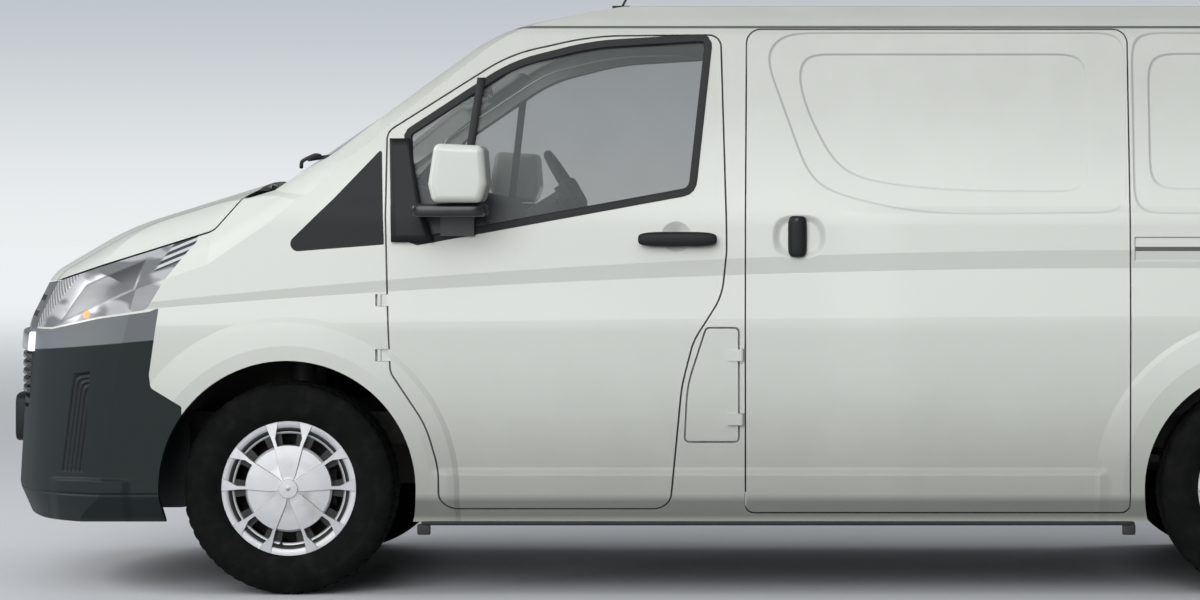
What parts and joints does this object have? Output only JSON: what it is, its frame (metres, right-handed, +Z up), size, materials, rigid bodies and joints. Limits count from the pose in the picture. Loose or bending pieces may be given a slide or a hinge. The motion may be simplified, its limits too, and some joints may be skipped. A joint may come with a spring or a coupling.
{
  "type": "panel van",
  "caption": "Long-wheelbase panel van with a short sloping bonnet, hinged cab doors, sliding side doors, a top-hinged tailgate and steerable front wheels.",
  "frame": {"origin": "on the ground under the middle of the vehicle's length and width", "axes": "+X toward the tail, +Y toward the vehicle's right side, +Z up"},
  "size_m": [5.263, 2.38, 2.3018],
  "materials": {
    "body_paint": "pale off-white gloss paint",
    "black_plastic": "dark grey grained plastic",
    "mirror_paint": "body-colour mirror shell",
    "chrome_trim": "bright trim",
    "lamp_clear": "clear lamp lens",
    "lamp_red": "red lamp lens",
    "tinted_glass": "tinted window glass",
    "underbody_paint": "black underbody paint",
    "cast_iron": "bare casting",
    "exhaust_steel": "dull steel",
    "tank_plastic": "black moulded tank",
    "cab_plastic": "dark grey cab mouldings",
    "seat_cloth": "dark grey woven cloth",
    "tyre_rubber": "black rubber",
    "wheel_silver": "silver wheel with its cover"
  },
  "bodies": {
    "van_body": {"antenna": "black_plastic", "body_side_left": "body_paint", "body_side_right": "body_paint", "cowl_panel": "black_plastic", "dashboard": "cab_plastic", "driver_seat": "seat_cloth", "engine_block": "cast_iron", "exhaust": "exhaust_steel", "floor_pan": "underbody_paint", "front_bumper": "black_plastic", "front_grille": "black_plastic", "front_subframe": "underbody_paint", "front_wing_left": "body_paint", "front_wing_right": "body_paint", "fuel_tank": "tank_plastic", "grille_trim": "chrome_trim", "headlamp_left": "lamp_clear", "headlamp_right": "lamp_clear", "leaf_springs": "underbody_paint", "passenger_seat": "seat_cloth", "propshaft": "underbody_paint", "quarter_trim_left": "black_plastic", "quarter_trim_right": "black_plastic", "rear_axle": "underbody_paint", "rear_bumper": "black_plastic", "roof_panel": "body_paint", "sliding_door_left": "body_paint", "sliding_door_right": "body_paint", "spare_wheel": "tyre_rubber", "tail_lamp_left": "lamp_red", "tail_lamp_right": "lamp_red", "windscreen": "tinted_glass"},
    "bonnet": {"bonnet": "body_paint"},
    "tailgate": {"tailgate": "body_paint", "tailgate_glass": "tinted_glass"},
    "fuel_lid": {"fuel_lid": "body_paint"},
    "cab_door_left": {"cab_door_left": "body_paint", "door_glass_left": "tinted_glass", "mirror_left": "mirror_paint"},
    "cab_door_right": {"cab_door_right": "body_paint", "door_glass_right": "tinted_glass", "mirror_right": "mirror_paint"},
    "knuckle_left": {"knuckle_left": "underbody_paint"},
    "knuckle_right": {"knuckle_right": "underbody_paint"},
    "steering_wheel": {"steering_wheel": "cab_plastic"},
    "wheel_front_left": {"tyre_front_left": "tyre_rubber", "wheel_front_left": "wheel_silver"},
    "wheel_front_right": {"tyre_front_right": "tyre_rubber", "wheel_front_right": "wheel_silver"},
    "wheel_rear_left": {"tyre_rear_left": "tyre_rubber", "wheel_rear_left": "wheel_silver"},
    "wheel_rear_right": {"tyre_rear_right": "tyre_rubber", "wheel_rear_right": "wheel_silver"}
  },
  "joints": [
    {"name": "steer_left", "type": "hinge", "parent": "van_body", "child": "knuckle_left", "pos_m": [-1.5925, -0.76, 0.35], "axis": [0, 0, 1], "range_deg": [-35, 35]},
    {"name": "steer_right", "type": "hinge", "parent": "van_body", "child": "knuckle_right", "pos_m": [-1.5925, 0.76, 0.35], "axis": [0, 0, 1], "range_deg": [-35, 35]},
    {"name": "steering_wheel_turn", "type": "hinge", "parent": "van_body", "child": "steering_wheel", "pos_m": [-0.7495, 0.38, 1.319], "axis": [0.848, 0, 0.5299], "range_deg": [-525, 525]},
    {"name": "wheel_spin_front_left", "type": "hinge", "parent": "knuckle_left", "child": "wheel_front_left", "pos_m": [-1.5925, -0.832, 0.35], "axis": [0, 1, 0], "continuous": true},
    {"name": "wheel_spin_front_right", "type": "hinge", "parent": "knuckle_right", "child": "wheel_front_right", "pos_m": [-1.5925, 0.832, 0.35], "axis": [0, 1, 0], "continuous": true},
    {"name": "wheel_spin_rear_left", "type": "hinge", "parent": "van_body", "child": "wheel_rear_left", "pos_m": [1.6175, -0.832, 0.35], "axis": [0, 1, 0], "continuous": true},
    {"name": "wheel_spin_rear_right", "type": "hinge", "parent": "van_body", "child": "wheel_rear_right", "pos_m": [1.6175, 0.832, 0.35], "axis": [0, 1, 0], "continuous": true},
    {"name": "cab_door_left_open", "type": "hinge", "parent": "van_body", "child": "cab_door_left", "pos_m": [-1.2875, -0.965, 0.9], "axis": [0, 0, -1], "range_deg": [0, 68]},
    {"name": "cab_door_right_open", "type": "hinge", "parent": "van_body", "child": "cab_door_right", "pos_m": [-1.2875, 0.965, 0.9], "axis": [0, 0, 1], "range_deg": [0, 68]},
    {"name": "bonnet_open", "type": "hinge", "parent": "van_body", "child": "bonnet", "pos_m": [-1.7285, 0, 1.343], "axis": [0, 1, 0], "range_deg": [0, 55]},
    {"name": "tailgate_open", "type": "hinge", "parent": "van_body", "child": "tailgate", "pos_m": [2.4185, 0, 1.993], "axis": [0, -1, 0], "range_deg": [0, 85]},
    {"name": "fuel_lid_open", "type": "hinge", "parent": "van_body", "child": "fuel_lid", "pos_m": [-0.1045, -0.972, 0.7], "axis": [0, 0, 1], "range_deg": [0, 90]}
  ],
  "couplings": [
    {"joint": "steer_right", "follows": "steer_left", "ratio": 1},
    {"joint": "steering_wheel_turn", "follows": "steer_left", "ratio": 15}
  ]
}
